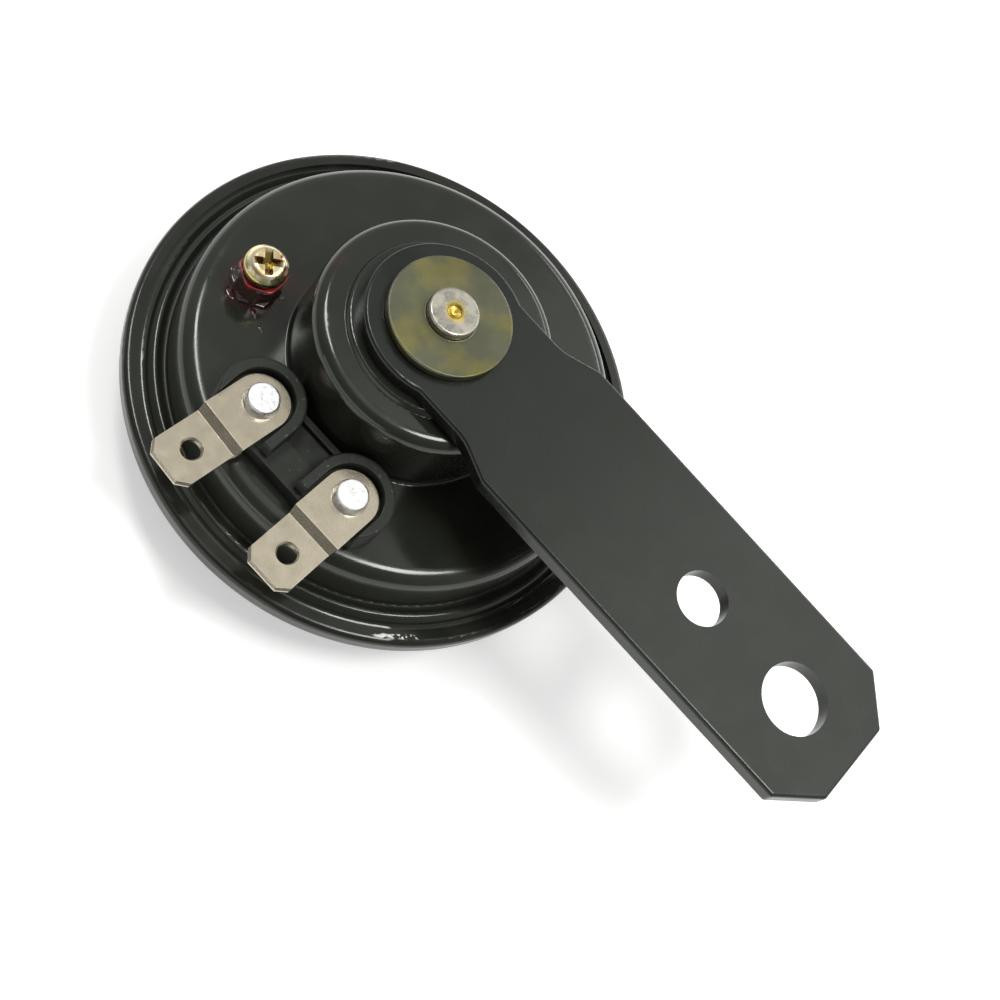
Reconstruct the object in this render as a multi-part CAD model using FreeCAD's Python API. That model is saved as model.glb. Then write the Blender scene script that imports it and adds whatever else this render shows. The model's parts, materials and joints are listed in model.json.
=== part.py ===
import FreeCAD, Part
import math
import os

from FreeCAD import Vector

# Electric disc horn of a vehicle, in millimetres. The horn's axis is upright, with its back on top.
# While it is built, the axis is at x = y = 0 and the cover's flange seats at z = 0.
# The bracket runs along +X, and the terminals point along -Y.

# Rolled clamp ring round the rim
rim_radius = 31.85
ring_sheet = 0.7
ring_bend = 0.9
lip_width = 1.65
ring_front_width = 3.05
rim_clearance = 0.25

# Pressed back cover: its outer surface, from the rim in to the pad under the bracket
cover_sheet = 1.0
flange_width = 2.45
flange_bend = 0.7
ridge_outer_width = 1.1
ridge_inner_width = 0.9
ridge_height = 2.1
gully_width = 0.55
gully_height = 1.5
wall_lean = 0.15
shoulder_bend = 2.2
face_height = 7.9
face_width = 12.25
boss_rise = 10.3
boss_lean = 0.08
boss_foot_bend = 0.4
boss_edge_bend = 2.6
boss_edge_width = 3.42
pad_rise = 0.55
pad_step_width = 0.35
pad_bend = 0.4

# Gasket and diaphragm, clamped between flange and ring
gasket_thickness = 0.25
gasket_width = 3.05
diaphragm_thickness = 0.3
corrugation_inset = 12.35
corrugation_pitch = 5.5
corrugation_half_width = 1.4
corrugation_height = 0.5
corrugation_bend = 1.2

# Pole core, riveted through cover, bracket and washer
core_radius = 5.0
core_length = 10.2
pole_flange_radius = 6.6
pole_flange_thickness = 1.6
core_stem_radius = 2.98
core_end_height = 1.15
core_end_round = 0.3
centre_mouth_radius = 1.0
centre_mouth_depth = 0.12
centre_hole_radius = 0.82
centre_hole_depth = 0.4
stem_clearance = 0.07

# Washer under the riveted end
washer_radius = 7.36
washer_thickness = 1.2
washer_edge = 0.2

# Mounting bracket: a flat strip with a round head on the horn's axis
bracket_thickness = 2.0
bracket_head_radius = 9.6
bracket_neck_width = 17.5
bracket_width = 21.3
bracket_neck_end = 11.0
bracket_full_width_at = 15.6
bracket_length = 66.5
bracket_corner = 4.9
bracket_neck_bend = 6.0
bracket_side_bend = 1.0
bracket_corner_round = 0.6
bracket_edge_round = 0.45
small_hole_at = 41.6
small_hole_radius = 3.25
large_hole_at = 56.7
large_hole_radius = 4.25

# Coil on its bobbin
bobbin_clearance = 0.1
bobbin_tube_wall = 0.8
bobbin_flange = 0.9
bobbin_wall_gap = 0.3
winding_inset = 0.9
winding_clearance = 0.05
lead_radius = 0.3
lead_bend = 0.9
lead_inset = 0.9
lead_weld_inset = 1.2
lead_rise = 1.2
lead_slot = 0.4

# Armature, whose stem passes diaphragm and tone disc
air_gap = 0.7
armature_head_radius = 6.5
armature_flange_radius = 9.5
armature_flange_thickness = 1.2
armature_flange_drop = 3.65
armature_hub_radius = 5.0
armature_stem_radius = 2.95
stem_tip_round = 0.3
stem_tip = 0.35

# Front stack: spacer, tone disc, spring washer and thin nut
tone_spacer_radius = 6.0
tone_spacer_thickness = 1.3
tone_sheet = 1.0
tone_centre_radius = 8.5
tone_cone_radius = 13.2
tone_depth = 5.45
tone_inset = 5.85
tone_lip_width = 1.4
tone_lip_rise = 0.9
tone_bend = 1.6
spring_washer_radius = 5.9
spring_washer_thickness = 1.2
spring_washer_slot = 0.9
nut_across_flats = 10.0
nut_thickness = 3.2

# Terminals: two blades, each riveted in a stadium-shaped recess of the moulded block
terminal_half_pitch = 7.15
terminal_from_boss = 4.15
blade_sheet = 0.8
blade_width = 6.3
blade_root_width = 6.7
blade_joggle_at = 5.3
blade_joggle_run = 0.9
blade_tip_at = 13.5
blade_tip_corner = 1.1
blade_tip_bevel = 0.25
blade_hole_at = 9.6
blade_hole_radius = 1.15
blade_hole_bevel = 0.2
left_blade_turn = -5.0
right_blade_turn = 0.0
block_seat_height = 2.05
block_wall = 1.25
block_wall_height = 1.9
block_recess_clearance = 0.4
block_wall_end = 3.7
block_tip_width = 0.15
block_edge_round = 0.3
bridge_front = 4.3
bridge_back = 0.5
bridge_drop = 0.15
pocket_back = 3.7
pocket_floor = 0.7
pocket_rim = 0.8
pocket_rim_height = 1.5
spigot_radius = 2.4
spigot_clearance = 0.1
rivet_head_radius = 1.85
rivet_head_flare = 0.25
rivet_head_height = 1.3
rivet_head_edge = 0.3
rivet_radius = 1.2
rivet_clearance = 0.05
rivet_upset_radius = 2.0
rivet_upset_height = 0.9

# Contact breaker under the cover's face
inner_plate_thickness = 0.8
inner_plate_margin = 1.4
spring_arm_thickness = 0.35
arm_width = 5.0
contact_at = 8.5
contact_radius = 1.5
contact_thickness = 0.85
fixed_arm_thickness = 1.0
spacer_radius = 2.6
spacer_neck_radius = 1.9
tongue_width = 3.0
tongue_end_gap = 1.1
striker_inset = 0.9
striker_radius = 1.0
striker_neck_radius = 0.6
striker_head_height = 0.4
striker_gap = 0.15
lug_thickness = 0.6
lug_radius = 3.0
lug_tongue = 5.2

# Adjusting screw in its staked hexagonal collar
screw_from_boss = 5.4
screw_azimuth = 202.5
collar_across_flats = 5.0
collar_height = 3.5
collar_turn = 4.0
collar_edge = 0.35
collar_shank_radius = 1.95
collar_flare_radius = 2.6
collar_flare_height = 0.5
screw_radius = 1.4
screw_clearance = 0.07
screw_head_radius = 2.6
screw_head_height = 1.5
screw_side_height = 0.6
screw_dome_width = 0.8
screw_side_round = 0.4
screw_dome_round = 1.0
screw_head_gap = 0.9
recess_width = 0.95
recess_reach = 1.8
recess_depth = 1.1
recess_turn = 45.0

# Radii that follow from the rim inwards
lip_radius = rim_radius - lip_width
ring_front_radius = rim_radius - ring_front_width
clamped_radius = rim_radius - ring_sheet - rim_clearance
gasket_inner_radius = rim_radius - gasket_width
outer_corrugation = rim_radius - corrugation_inset
inner_corrugation = outer_corrugation - corrugation_pitch
ridge_foot_radius = rim_radius - flange_width
ridge_radius = ridge_foot_radius - ridge_outer_width
gully_radius = ridge_radius - ridge_inner_width
wall_foot_radius = gully_radius - gully_width
shoulder_radius = wall_foot_radius - wall_lean
boss_foot_radius = shoulder_radius - face_width
boss_radius = boss_foot_radius - boss_lean
step_inner_radius = boss_radius - boss_edge_width
pad_radius = step_inner_radius - pad_step_width
bobbin_radius = boss_radius - boss_edge_bend - bobbin_wall_gap
winding_radius = bobbin_radius - winding_inset
lead_orbit = winding_radius - lead_inset
tone_lip_radius = rim_radius - tone_inset
tone_edge_radius = tone_lip_radius - tone_lip_width
striker_orbit = armature_flange_radius - striker_inset
tongue_end_radius = armature_head_radius + tongue_end_gap
terminal_reach = boss_foot_radius + terminal_from_boss
screw_orbit = boss_foot_radius + screw_from_boss

# Heights and places that follow from the sizes above
rim_under = -(gasket_thickness + diaphragm_thickness + ring_sheet)
rim_top = cover_sheet + ring_sheet
diaphragm_top = -gasket_thickness
diaphragm_under = diaphragm_top - diaphragm_thickness
step_height = face_height + boss_rise
pad_height = step_height + pad_rise
cover_inside_top = pad_height - cover_sheet
step_inside = step_height - cover_sheet
face_inside = face_height - cover_sheet
pole_face = cover_inside_top - core_length
bobbin_under = pole_face + pole_flange_thickness
bracket_top = pad_height + bracket_thickness
washer_top = bracket_top + washer_thickness
core_end = washer_top + core_end_height
armature_top = pole_face - air_gap
armature_flange_top = armature_top - armature_flange_drop
armature_flange_under = armature_flange_top - armature_flange_thickness
tone_top = diaphragm_under - tone_spacer_thickness
tone_under = tone_top - tone_sheet
nut_top = tone_under - spring_washer_thickness
armature_stem_end = nut_top - nut_thickness - stem_tip
blade_under = face_height + block_seat_height
blade_top = blade_under + blade_sheet
inner_plate_under = face_inside - inner_plate_thickness
spring_arm_under = inner_plate_under - spring_arm_thickness
fixed_arm_top = spring_arm_under - 2 * contact_thickness
fixed_arm_under = fixed_arm_top - fixed_arm_thickness
lug_under = inner_plate_under - lug_thickness
collar_top = face_height + collar_height
screw_head_under = collar_top + screw_head_gap

left_rivet = Vector(-terminal_half_pitch, -terminal_reach, 0)
right_rivet = Vector(terminal_half_pitch, -terminal_reach, 0)
screw_angle = math.radians(screw_azimuth)
screw_place = Vector(screw_orbit * math.cos(screw_angle), screw_orbit * math.sin(screw_angle), 0)
arm_direction = (screw_place - left_rivet).normalize()
contact_place = left_rivet + arm_direction * contact_at

# The finished part has its origin where the larger bracket hole meets the bracket's back face.
part_origin = Vector(large_hole_at, 0, bracket_top)

UP = Vector(0, 0, 1)
ALMOST_STRAIGHT = 0.001
TINY = 0.0001
LONGEST_SETBACK = 0.48


def save(shape, node):
    """Move one finished piece to the part's own frame and write it under its name."""
    piece = shape.copy()
    piece.translate(part_origin * -1)
    if not piece.isValid() or piece.Volume <= 0:
        raise ValueError("bad solid: " + node)
    piece.exportStep("parts/" + node + ".step")
    print(node, "solids", len(piece.Solids), "volume", round(piece.Volume, 2))


def corner_arc(before, corner, after, radius):
    """First, middle and last point of the arc that rounds one corner, or the bare corner."""
    incoming = corner - before
    outgoing = after - corner
    shorter = min(incoming.Length, outgoing.Length)
    incoming.normalize()
    outgoing.normalize()
    turn = incoming.getAngle(outgoing)
    if radius <= 0 or turn < ALMOST_STRAIGHT:
        return corner, None, corner
    setback = min(radius * math.tan(turn / 2), LONGEST_SETBACK * shorter)
    true_radius = setback / math.tan(turn / 2)
    inward = outgoing - incoming
    inward.normalize()
    centre = corner + inward * (true_radius / math.cos(turn / 2))
    return corner - incoming * setback, centre - inward * true_radius, corner + outgoing * setback


def rounded_edges(arcs, closed):
    """Straight edges and arcs that run through a list of rounded corners."""
    edges = []
    last_link = len(arcs) if closed else len(arcs) - 1
    for index, (first, middle, last) in enumerate(arcs):
        if middle is not None:
            edges.append(Part.Arc(first, middle, last).toShape())
        following = arcs[(index + 1) % len(arcs)][0]
        if index < last_link and (following - last).Length > TINY:
            edges.append(Part.LineSegment(last, following).toShape())
    return edges


def outline(points):
    """Closed face through points given as (Vector, corner radius)."""
    count = len(points)
    arcs = []
    for index, (corner, radius) in enumerate(points):
        before = points[index - 1][0]
        after = points[(index + 1) % count][0]
        arcs.append(corner_arc(before, corner, after, radius))
    return Part.Face(Part.Wire(rounded_edges(arcs, True)))


def turned(corners):
    """Solid of revolution about the horn's axis from corners (radius, height, corner radius)."""
    points = [(Vector(radius, 0, height), bend) for radius, height, bend in corners]
    return outline(points).revolve(Vector(0, 0, 0), UP, 360)


def sheet_underside(line, sheet):
    """The other surface of a bent sheet: the line set off to its right, with bends that fit."""
    steps = []
    for (r0, z0, bend0), (r1, z1, bend1) in zip(line, line[1:]):
        step = Vector(r1 - r0, 0, z1 - z0)
        step.normalize()
        steps.append(step)
    underside = []
    for index, (r, z, bend) in enumerate(line):
        into = steps[max(index - 1, 0)]
        out = steps[min(index, len(steps) - 1)]
        right_in = Vector(into.z, 0, -into.x)
        right_out = Vector(out.z, 0, -out.x)
        shift = (right_in + right_out) * (sheet / (1 + right_in.dot(right_out)))
        turns_right = into.x * out.z - into.z * out.x < 0
        other_bend = bend - sheet if turns_right else bend + sheet
        if bend <= 0:
            other_bend = 0
        underside.append((r + shift.x, z + shift.z, max(other_bend, 0.15 * sheet)))
    return underside


def pressed_sheet(line, sheet):
    """Round pressing of one thickness. The line is its upper surface, from the middle outwards."""
    underside = sheet_underside(line, sheet)
    corners = list(line) + list(reversed(underside))
    square = (0, len(line) - 1, len(line), len(corners) - 1)
    for index in square:
        r, z, bend = corners[index]
        corners[index] = (r, z, 0)
    return turned(corners)


def rod(radius, low, high, place=Vector(0, 0, 0)):
    """Upright cylinder between two heights."""
    return Part.makeCylinder(radius, high - low, Vector(place.x, place.y, low), UP)


def plate(face, low, high):
    """Flat piece: a face drawn at z = 0, given its thickness between two heights."""
    solid = face.extrude(UP * (high - low))
    solid.translate(UP * low)
    return solid


def strip_outline(start, end, width, end_round):
    """Outline of a straight strip between two points, running past each end by half its width."""
    along = end - start
    along.normalize()
    side = Vector(-along.y, along.x, 0) * (width / 2)
    past = along * (width / 2)
    corners = [start - past - side, end + past - side, end + past + side, start - past + side]
    return outline([(corner, end_round) for corner in corners])


def hexagon(across_flats, turn):
    """Face of a hexagon about the axis."""
    reach = across_flats / math.sqrt(3)
    corners = []
    for index in range(6):
        angle = math.radians(turn + 60 * index)
        corners.append((Vector(reach * math.cos(angle), reach * math.sin(angle), 0), 0))
    return outline(corners)


def hex_prism(across_flats, low, high, turn, edge, low_edge):
    """Hexagonal bar with its corners turned off at the top and, where asked, at the bottom."""
    reach = across_flats / math.sqrt(3)
    bar = plate(hexagon(across_flats, turn), low, high)
    cone = [(0, low, 0), (reach - low_edge, low, 0), (reach, low + low_edge * 0.6, 0),
            (reach, high - edge * 0.6, 0), (reach - edge, high, 0), (0, high, 0)]
    kept = [corner for index, corner in enumerate(cone) if index != 2 or low_edge > 0]
    return bar.common(turned(kept))


def wire_run(points, radius, bend):
    """Round wire along straight runs joined by arcs."""
    arcs = [(points[0], None, points[0])]
    for before, corner, after in zip(points, points[1:], points[2:]):
        arcs.append(corner_arc(before, corner, after, bend))
    arcs.append((points[-1], None, points[-1]))
    path = Part.Wire(rounded_edges(arcs, False))
    section = Part.Wire(Part.makeCircle(radius, points[0], points[1] - points[0]))
    return path.makePipe(Part.Face(section))


# Back cover and rim

def back_cover():
    line = [
        (core_stem_radius + stem_clearance, pad_height, 0),
        (pad_radius, pad_height, pad_bend),
        (step_inner_radius, step_height, pad_bend / 2),
        (boss_radius, step_height, boss_edge_bend),
        (boss_foot_radius, face_height, boss_foot_bend),
        (shoulder_radius, face_height, shoulder_bend),
        (wall_foot_radius, gully_height, flange_bend),
        (gully_radius, gully_height, flange_bend),
        (ridge_radius, ridge_height, flange_bend),
        (ridge_foot_radius, cover_sheet, flange_bend),
        (clamped_radius, cover_sheet, 0),
    ]
    cover = pressed_sheet(line, cover_sheet)
    for place in (left_rivet, right_rivet):
        cover = cover.cut(rod(spigot_radius + spigot_clearance, 0, pad_height, place))
    return cover.cut(rod(collar_shank_radius + screw_clearance, 0, pad_height, screw_place))


def clamp_ring():
    line = [
        (lip_radius, rim_top, 0),
        (rim_radius, rim_top, ring_bend),
        (rim_radius, rim_under, ring_bend),
        (ring_front_radius, rim_under, 0),
    ]
    return pressed_sheet(line, ring_sheet)


def rim_gasket():
    return rod(clamped_radius, diaphragm_top, 0).cut(rod(gasket_inner_radius, diaphragm_top, 0))


def diaphragm():
    line = [(armature_stem_radius + stem_clearance, diaphragm_top, 0)]
    for middle in (inner_corrugation, outer_corrugation):
        line.append((middle - corrugation_half_width, diaphragm_top, corrugation_bend))
        line.append((middle, diaphragm_top + corrugation_height, corrugation_bend))
        line.append((middle + corrugation_half_width, diaphragm_top, corrugation_bend))
    line.append((clamped_radius, diaphragm_top, 0))
    return pressed_sheet(line, diaphragm_thickness)


# Magnet: core, coil and armature

def pole_core():
    return turned([
        (0, pole_face, 0),
        (pole_flange_radius, pole_face, 0),
        (pole_flange_radius, bobbin_under, 0),
        (core_radius, bobbin_under, 0),
        (core_radius, cover_inside_top, 0),
        (core_stem_radius, cover_inside_top, 0),
        (core_stem_radius, core_end, core_end_round),
        (centre_mouth_radius, core_end, 0),
        (centre_hole_radius, core_end - centre_mouth_depth, 0),
        (centre_hole_radius, core_end - centre_hole_depth, 0),
        (0, core_end - centre_hole_depth - centre_hole_radius / 2, 0),
    ])


bobbin_bore = core_radius + bobbin_clearance
bobbin_tube = bobbin_bore + bobbin_tube_wall
winding_low = bobbin_under + bobbin_flange + winding_clearance
winding_high = step_inside - bobbin_flange - winding_clearance


def lead_start(rivet):
    """Where a lead leaves the winding, on the radius that points to its rivet."""
    outward = Vector(rivet.x, rivet.y, 0)
    outward.normalize()
    return outward * lead_orbit


def coil_bobbin():
    bobbin = turned([
        (bobbin_bore, bobbin_under, 0),
        (bobbin_radius, bobbin_under, 0),
        (bobbin_radius, bobbin_under + bobbin_flange, 0),
        (bobbin_tube, bobbin_under + bobbin_flange, 0),
        (bobbin_tube, step_inside - bobbin_flange, 0),
        (bobbin_radius, step_inside - bobbin_flange, 0),
        (bobbin_radius, step_inside, 0),
        (bobbin_bore, step_inside, 0),
    ])
    for rivet in (left_rivet, right_rivet):
        start = lead_start(rivet)
        outer = start * ((bobbin_radius + 1) / lead_orbit)
        slot = strip_outline(start, outer, 2 * (lead_radius + lead_slot), 0)
        bobbin = bobbin.cut(plate(slot, bobbin_under - 1, bobbin_under + bobbin_flange))
    return bobbin


def coil_winding():
    tube = bobbin_tube + winding_clearance
    coil = turned([
        (tube, winding_low, 0),
        (winding_radius, winding_low, 0),
        (winding_radius, winding_high, 0),
        (tube, winding_high, 0),
    ])
    across = Vector(arm_direction.y, -arm_direction.x, 0)
    arm_edge = left_rivet + arm_direction * (contact_at / 2) + across * (arm_width / 2 - lead_weld_inset)
    toward_axis = Vector(-right_rivet.x, -right_rivet.y, 0)
    toward_axis.normalize()
    lug_end = right_rivet + toward_axis * lug_radius
    for rivet, end, ceiling in (
        (left_rivet, arm_edge, spring_arm_under),
        (right_rivet, lug_end, lug_under),
    ):
        start = lead_start(rivet)
        level = ceiling - lead_radius - winding_clearance
        run = [
            Vector(start.x, start.y, winding_low + lead_rise),
            Vector(start.x, start.y, level),
            Vector(end.x, end.y, level),
        ]
        coil = coil.fuse(wire_run(run, lead_radius, lead_bend))
    return coil


def armature():
    return turned([
        (0, armature_stem_end, 0),
        (armature_stem_radius, armature_stem_end, stem_tip_round),
        (armature_stem_radius, diaphragm_top, 0),
        (armature_hub_radius, diaphragm_top, 0),
        (armature_hub_radius, armature_flange_under, 0),
        (armature_flange_radius, armature_flange_under, 0),
        (armature_flange_radius, armature_flange_top, 0),
        (armature_head_radius, armature_flange_top, 0),
        (armature_head_radius, armature_top, 0),
        (0, armature_top, 0),
    ])


# Bracket and washer on the stem

def mounting_bracket():
    neck = bracket_neck_width / 2
    half = bracket_width / 2
    end_half = half - bracket_corner
    head = bracket_head_radius
    join = math.sqrt(head ** 2 - neck ** 2)
    join_low = Vector(join, -neck, 0)
    join_high = Vector(join, neck, 0)
    side = [
        (Vector(bracket_neck_end, 0, 0), neck, bracket_neck_bend),
        (Vector(bracket_full_width_at, 0, 0), half, bracket_side_bend),
        (Vector(bracket_length - bracket_corner, 0, 0), half, bracket_corner_round),
        (Vector(bracket_length, 0, 0), end_half, bracket_corner_round),
    ]
    arcs = []
    low_side = [(Vector(place.x, -width, 0), bend) for place, width, bend in side]
    high_side = [(Vector(place.x, width, 0), bend) for place, width, bend in reversed(side)]
    route = [(join_low, 0)] + low_side + high_side + [(join_high, 0)]
    for index in range(1, len(route) - 1):
        arcs.append(corner_arc(route[index - 1][0], route[index][0], route[index + 1][0], route[index][1]))
    arcs = [(join_low, None, join_low)] + arcs + [(join_high, None, join_high)]
    edges = rounded_edges(arcs, False)
    edges.append(Part.Arc(join_high, Vector(-head, 0, 0), join_low).toShape())
    bracket = plate(Part.Face(Part.Wire(edges)), pad_height, bracket_top)
    rim = [edge for edge in bracket.Edges if edge.BoundBox.ZMin > bracket_top - TINY]
    bracket = bracket.makeFillet(bracket_edge_round, rim)
    holes = (
        (0, core_stem_radius + stem_clearance),
        (small_hole_at, small_hole_radius),
        (large_hole_at, large_hole_radius),
    )
    for at, radius in holes:
        bracket = bracket.cut(rod(radius, pad_height, bracket_top, Vector(at, 0, 0)))
    return bracket


def core_washer():
    bore = core_stem_radius + stem_clearance
    return turned([
        (bore, bracket_top, 0),
        (washer_radius, bracket_top, washer_edge),
        (washer_radius, washer_top, washer_edge),
        (bore, washer_top, 0),
    ])


# Front stack on the armature's stem

def tone_spacer():
    bore = armature_stem_radius + stem_clearance
    return rod(tone_spacer_radius, tone_top, diaphragm_under).cut(rod(bore, tone_top, diaphragm_under))


def tone_disc():
    low = tone_top - tone_depth
    return pressed_sheet([
        (armature_stem_radius + stem_clearance, tone_top, 0),
        (tone_centre_radius, tone_top, tone_bend + tone_sheet),
        (tone_cone_radius, low, tone_bend),
        (tone_edge_radius, low, tone_bend),
        (tone_lip_radius, low + tone_lip_rise, 0),
    ], tone_sheet)


def spring_washer():
    bore = armature_stem_radius + stem_clearance
    washer = rod(spring_washer_radius, nut_top, tone_under).cut(rod(bore, nut_top, tone_under))
    slot = Part.makeBox(spring_washer_radius + 1, spring_washer_slot, 3 * spring_washer_thickness)
    slot.translate(Vector(0, -spring_washer_slot / 2, nut_top - spring_washer_thickness))
    return washer.cut(slot)


def armature_nut():
    low = nut_top - nut_thickness
    edge = nut_across_flats * 0.07
    nut = hex_prism(nut_across_flats, low, nut_top, 0, edge, edge)
    return nut.cut(rod(armature_stem_radius + stem_clearance, low, nut_top))


# Terminals

def terminal_blade(rivet, turn):
    """Blade with a full-round riveted root and a joggle one sheet down to its narrower tip."""
    root = blade_root_width / 2
    tip = blade_width / 2
    low = blade_top - blade_sheet
    joggle_end = blade_joggle_at + blade_joggle_run
    lean = blade_sheet * 0.3
    side = outline([
        (Vector(0, root, blade_top), 0),
        (Vector(0, -blade_joggle_at, blade_top), lean),
        (Vector(0, -joggle_end, low), lean),
        (Vector(0, -blade_tip_at, low), 0),
        (Vector(0, -blade_tip_at, low - blade_sheet), 0),
        (Vector(0, -joggle_end + lean, low - blade_sheet), lean),
        (Vector(0, -blade_joggle_at + lean, low), lean),
        (Vector(0, root, low), 0),
    ])
    bent = side.extrude(Vector(blade_root_width, 0, 0))
    bent.translate(Vector(-root, 0, 0))
    corner = blade_tip_corner
    plan = outline([
        (Vector(-root, 0, 0), 0),
        (Vector(-root, -blade_joggle_at, 0), 0),
        (Vector(-tip, -joggle_end, 0), 0),
        (Vector(-tip, -blade_tip_at + corner, 0), 0),
        (Vector(-tip + corner, -blade_tip_at, 0), 0),
        (Vector(tip - corner, -blade_tip_at, 0), 0),
        (Vector(tip, -blade_tip_at + corner, 0), 0),
        (Vector(tip, -joggle_end, 0), 0),
        (Vector(root, -blade_joggle_at, 0), 0),
        (Vector(root, 0, 0), 0),
    ])
    flat = plate(plan, low - 2 * blade_sheet, blade_top + blade_sheet)
    flat = flat.fuse(rod(root, low - 2 * blade_sheet, blade_top + blade_sheet))
    blade = bent.common(flat)
    bevelled = []
    for edge in blade.Edges:
        box = edge.BoundBox
        if box.YMax < -blade_tip_at + corner + TINY and box.ZMax - box.ZMin < TINY:
            bevelled.append(edge)
    blade = blade.makeChamfer(blade_tip_bevel, bevelled)
    blade = blade.cut(rod(rivet_radius + rivet_clearance, low - 1, blade_top + 1))
    hole = Vector(0, -blade_hole_at, 0)
    blade = blade.cut(rod(blade_hole_radius, low - 2 * blade_sheet, blade_top, hole))
    mouth = Vector(0, -blade_hole_at, low - blade_hole_bevel)
    bevel = Part.makeCone(blade_hole_radius, blade_hole_radius + blade_hole_bevel, blade_hole_bevel, mouth)
    blade = blade.cut(bevel)
    blade.rotate(Vector(0, 0, 0), UP, turn)
    blade.translate(rivet)
    return blade


def terminal_rivet(rivet, upset_top):
    """Rivet with a flat head on the blade and its other end spread under the pieces it holds."""
    base = rivet_head_radius + rivet_head_flare
    pin = turned([
        (0, upset_top - rivet_upset_height, 0),
        (rivet_upset_radius, upset_top - rivet_upset_height, 0),
        (rivet_upset_radius, upset_top, 0),
        (rivet_radius, upset_top, 0),
        (rivet_radius, blade_top, 0),
        (base, blade_top, 0),
        (rivet_head_radius, blade_top + rivet_head_height, rivet_head_edge),
        (0, blade_top + rivet_head_height, 0),
    ])
    pin.translate(rivet)
    return pin


def stadium(rivet, radius, reach):
    """Round end about a rivet that runs straight out towards the blade's tip."""
    left = Vector(rivet.x - radius, rivet.y, 0)
    right = Vector(rivet.x + radius, rivet.y, 0)
    drop = Vector(0, -reach, 0)
    edges = [
        Part.Arc(right, Vector(rivet.x, rivet.y + radius, 0), left).toShape(),
        Part.LineSegment(left, left + drop).toShape(),
        Part.LineSegment(left + drop, right + drop).toShape(),
        Part.LineSegment(right + drop, right).toShape(),
    ]
    return Part.Face(Part.Wire(edges))


def horseshoe(rivet, inner, outer):
    """Round end about a rivet: a straight flank towards the other rivet, a tapered one outside."""
    away = 1 if rivet.x > 0 else -1
    tip = inner + block_tip_width
    flank = rivet + Vector(-away * outer, 0, 0)
    flank_end = rivet + Vector(-away * outer, -block_wall_end, 0)
    middle = rivet + Vector(0, -block_wall_end, 0)
    taper_end = rivet + Vector(away * tip, -math.sqrt(outer ** 2 - tip ** 2), 0)
    edges = [
        Part.Arc(flank, rivet + Vector(0, outer, 0), taper_end).toShape(),
        Part.LineSegment(taper_end, middle).toShape(),
        Part.LineSegment(middle, flank_end).toShape(),
        Part.LineSegment(flank_end, flank).toShape(),
    ]
    return Part.Face(Part.Wire(edges))


def terminal_block():
    inner = blade_root_width / 2 + block_recess_clearance
    outer = inner + block_wall
    wall_top = blade_under + block_wall_height
    bridge_top = blade_under - bridge_drop
    front = -terminal_reach - bridge_front
    back = -terminal_reach - bridge_back
    half = terminal_half_pitch
    bridge = Part.makeBox(2 * half, back - front, bridge_top - face_height, Vector(-half, front, face_height))
    rim_back = -terminal_reach + pocket_back
    pocket_outer = Part.makeBox(2 * half, rim_back - back, pocket_rim_height, Vector(-half, back, face_height))
    pocket = Part.makeBox(
        2 * half,
        rim_back - back - pocket_rim,
        pocket_rim_height,
        Vector(-half, back, face_height + pocket_floor),
    )
    block = bridge.fuse(pocket_outer.cut(pocket))
    rivets = (left_rivet, right_rivet)
    for rivet in rivets:
        wall = plate(horseshoe(rivet, inner, outer), face_height, wall_top)
        top = [edge for edge in wall.Edges if edge.BoundBox.ZMin > wall_top - TINY]
        block = block.fuse(wall.makeFillet(block_edge_round, top))
    for rivet in rivets:
        block = block.cut(plate(stadium(rivet, inner, block_wall_end + 1), blade_under, wall_top + 1))
        block = block.fuse(rod(spigot_radius, face_inside, face_height, rivet))
        block = block.cut(rod(rivet_radius + rivet_clearance, face_inside, wall_top, rivet))
    return block.removeSplitter()


def inner_plate():
    margin = spigot_radius + inner_plate_margin
    body = plate(strip_outline(left_rivet, right_rivet, 2 * margin, margin), inner_plate_under, face_inside)
    for rivet in (left_rivet, right_rivet):
        body = body.cut(rod(rivet_radius + rivet_clearance, inner_plate_under, face_inside, rivet))
    return body


# Contact breaker

def contact_fixed_arm():
    body = plate(
        strip_outline(left_rivet, screw_place, arm_width, arm_width / 2 - TINY),
        fixed_arm_under,
        fixed_arm_top,
    )
    return body.cut(rod(rivet_radius + rivet_clearance, fixed_arm_under, fixed_arm_top, left_rivet))


def toward_axis_at(place, radius):
    """The point at a given radius on the line from a place to the horn's axis."""
    flat = Vector(place.x, place.y, 0)
    flat.normalize()
    return flat * radius


def contact_spring_arm():
    round_end = arm_width / 2 - TINY
    body = plate(
        strip_outline(left_rivet, contact_place, arm_width, round_end),
        spring_arm_under,
        inner_plate_under,
    )
    tongue = plate(
        strip_outline(
            contact_place,
            toward_axis_at(contact_place, tongue_end_radius + tongue_width / 2),
            tongue_width,
            tongue_width / 4,
        ),
        spring_arm_under,
        inner_plate_under,
    )
    body = body.fuse(tongue).removeSplitter()
    hole = rod(spacer_neck_radius + rivet_clearance, spring_arm_under, inner_plate_under, left_rivet)
    stud = toward_axis_at(contact_place, striker_orbit)
    stud_hole = rod(striker_neck_radius + rivet_clearance, spring_arm_under, inner_plate_under, stud)
    return body.cut(hole).cut(stud_hole)


def contact_point(low):
    return rod(contact_radius, low, low + contact_thickness, contact_place)


def contact_spacer():
    spacer = turned([
        (rivet_radius + rivet_clearance, fixed_arm_top, 0),
        (spacer_radius, fixed_arm_top, 0),
        (spacer_radius, spring_arm_under, 0),
        (spacer_neck_radius, spring_arm_under, 0),
        (spacer_neck_radius, inner_plate_under, 0),
        (rivet_radius + rivet_clearance, inner_plate_under, 0),
    ])
    spacer.translate(left_rivet)
    return spacer


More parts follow.
